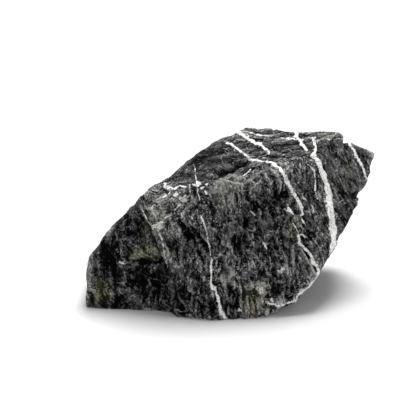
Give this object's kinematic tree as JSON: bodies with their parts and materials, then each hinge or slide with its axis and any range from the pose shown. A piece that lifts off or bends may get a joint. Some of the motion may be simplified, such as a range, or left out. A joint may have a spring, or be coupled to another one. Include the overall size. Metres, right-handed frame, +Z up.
{
  "type": "aquascape stone",
  "caption": "Jagged dark limestone block with a level crest, steep grooved faces and a flat underside to stand on.",
  "frame": {"origin": "middle of the bounding box, at the height of the flat underside", "axes": "+X towards the overhanging right tip along the longest side, -Y towards the broad front faces, +Z up"},
  "size_m": [0.24, 0.1392, 0.1291],
  "materials": {
    "stone": "matt, rough, dark grey with white veins"
  },
  "bodies": {
    "root": {"stone": "stone"}
  },
  "joints": []
}
